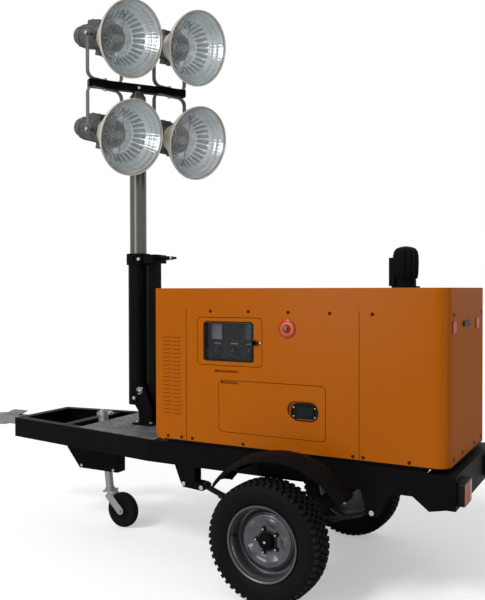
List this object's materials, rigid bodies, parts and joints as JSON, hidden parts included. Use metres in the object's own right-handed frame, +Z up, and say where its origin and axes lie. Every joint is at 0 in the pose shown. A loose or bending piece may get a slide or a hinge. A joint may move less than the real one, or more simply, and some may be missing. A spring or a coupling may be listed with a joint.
{
  "type": "mobile light tower",
  "caption": "Towable light tower: canopied generator on a single-axle trailer, telescopic tilting mast and floodlights with bell reflectors on a crossbar.",
  "frame": {"origin": "middle of the whole object's box, on the ground under the wheels", "axes": "+X forward to the tow coupling, +Y to the left side with the control window, +Z up"},
  "size_m": [3.199, 1.304, 3.0863],
  "materials": {
    "chassis_black": "satin black paint",
    "spring_steel": "painted spring steel",
    "deck_grey": "worn chequer plate",
    "cast_grey": "bare casting",
    "zinc": "dull zinc",
    "canopy_orange": "powder coat with light orange peel",
    "panel_black": "matt black",
    "stop_red": "translucent red",
    "engine_grey": "painted casting",
    "clear_glass": "clear",
    "mast_silver": "anodised",
    "lamp_grey": "grey die casting",
    "reflector": "hammered bright",
    "tyre_black": "dusty",
    "rim_silver": "silver lacquer"
  },
  "bodies": {
    "chassis": {"chassis_frame": "chassis_black", "cross_members": "chassis_black", "deck_plate": "deck_grey", "tow_coupling": "cast_grey", "jack_bracket": "chassis_black", "jack_tube": "zinc", "axle_beam": "chassis_black", "leaf_springs": "spring_steel", "spring_hangers": "chassis_black", "mudguards": "chassis_black", "rear_beam": "chassis_black", "tail_lamps": "stop_red", "mast_foot": "chassis_black", "mast_post": "chassis_black", "canopy_floor": "chassis_black", "canopy_left": "canopy_orange", "canopy_right": "canopy_orange", "canopy_front_wall": "canopy_orange", "canopy_rear_wall": "canopy_orange", "canopy_roof": "canopy_orange", "exhaust_outlet": "panel_black", "control_panel": "panel_black", "emergency_stop": "stop_red", "generator_set": "engine_grey"},
    "wheel_left": {"tyre_left": "tyre_black", "rim_left": "rim_silver"},
    "wheel_right": {"tyre_right": "tyre_black", "rim_right": "rim_silver"},
    "jack_leg": {"jack_leg": "zinc"},
    "jack_fork": {"jack_fork": "zinc"},
    "jack_wheel": {"jack_wheel": "tyre_black"},
    "mast": {"mast_sleeve": "chassis_black"},
    "mast_1": {"mast_tube_1": "mast_silver"},
    "mast_2": {"mast_tube_2": "mast_silver"},
    "mast_3": {"mast_tube_3": "mast_silver"},
    "head": {"mast_tube_4": "mast_silver", "crossbar": "chassis_black", "lamp_yokes": "lamp_grey"},
    "door_left": {"service_door_left": "canopy_orange"},
    "door_right": {"service_door_right": "canopy_orange"},
    "door_control": {"control_door": "canopy_orange", "control_window": "clear_glass"},
    "lamp_1": {"lamp_housing_1": "lamp_grey", "lamp_reflector_1": "reflector", "lamp_glass_1": "clear_glass"},
    "lamp_2": {"lamp_housing_2": "lamp_grey", "lamp_reflector_2": "reflector", "lamp_glass_2": "clear_glass"},
    "lamp_3": {"lamp_housing_3": "lamp_grey", "lamp_reflector_3": "reflector", "lamp_glass_3": "clear_glass"},
    "lamp_4": {"lamp_housing_4": "lamp_grey", "lamp_reflector_4": "reflector", "lamp_glass_4": "clear_glass"}
  },
  "joints": [
    {"name": "wheel_left_spin", "type": "hinge", "parent": "chassis", "child": "wheel_left", "pos_m": [-0.7355, 0.557, 0.2875], "axis": [0, 1, 0], "continuous": true},
    {"name": "wheel_right_spin", "type": "hinge", "parent": "chassis", "child": "wheel_right", "pos_m": [-0.7355, -0.557, 0.2875], "axis": [0, 1, 0], "continuous": true},
    {"name": "jack_slide", "type": "slide", "parent": "chassis", "child": "jack_leg", "axis": [0.1167, 0, 0.9932], "range_m": [0, 0.1]},
    {"name": "jack_swivel", "type": "hinge", "parent": "jack_leg", "child": "jack_fork", "pos_m": [0.6765, 0, 0.5], "axis": [0.1167, 0, 0.9932], "continuous": true},
    {"name": "jack_wheel_spin", "type": "hinge", "parent": "jack_fork", "child": "jack_wheel", "pos_m": [0.5425, 0, 0.106], "axis": [0, 1, 0], "continuous": true},
    {"name": "mast_tilt", "type": "hinge", "parent": "chassis", "child": "mast", "pos_m": [0.3905, 0, 0.814], "axis": [0, 1, 0], "range_deg": [0, 90]},
    {"name": "mast_turn", "type": "hinge", "parent": "mast", "child": "mast_1", "pos_m": [0.4205, 0, 1.608], "axis": [0, 0, 1], "range_deg": [-180, 180]},
    {"name": "mast_extend_2", "type": "slide", "parent": "mast_1", "child": "mast_2", "axis": [0, 0, 1], "range_m": [0, 1.5]},
    {"name": "mast_extend_3", "type": "slide", "parent": "mast_2", "child": "mast_3", "axis": [0, 0, 1], "range_m": [0, 1.5]},
    {"name": "mast_extend_4", "type": "slide", "parent": "mast_3", "child": "head", "axis": [0, 0, 1], "range_m": [0, 1.5]},
    {"name": "lamp_tilt_1", "type": "hinge", "parent": "head", "child": "lamp_1", "pos_m": [0.53923, 0.16342, 2.9485], "axis": [-0.2756, -0.9613, 0], "range_deg": [-60, 15]},
    {"name": "lamp_tilt_2", "type": "hinge", "parent": "head", "child": "lamp_2", "pos_m": [0.30177, -0.16342, 2.9485], "axis": [-0.2756, -0.9613, 0], "range_deg": [-60, 15]},
    {"name": "lamp_tilt_3", "type": "hinge", "parent": "head", "child": "lamp_3", "pos_m": [0.53923, 0.16342, 2.3925], "axis": [-0.2756, -0.9613, 0], "range_deg": [-20, 12]},
    {"name": "lamp_tilt_4", "type": "hinge", "parent": "head", "child": "lamp_4", "pos_m": [0.30177, -0.16342, 2.3925], "axis": [-0.2756, -0.9613, 0], "range_deg": [-20, 12]},
    {"name": "service_door_left_swing", "type": "hinge", "parent": "chassis", "child": "door_left", "pos_m": [-0.4025, 0.3995, 0.742], "axis": [0, 0, -1], "range_deg": [0, 100]},
    {"name": "service_door_right_swing", "type": "hinge", "parent": "chassis", "child": "door_right", "pos_m": [-0.4025, -0.3995, 0.742], "axis": [0, 0, 1], "range_deg": [0, 100]},
    {"name": "control_door_swing", "type": "hinge", "parent": "chassis", "child": "door_control", "pos_m": [-0.2745, 0.3995, 1.077], "axis": [0, 0, -1], "range_deg": [0, 100]}
  ]
}
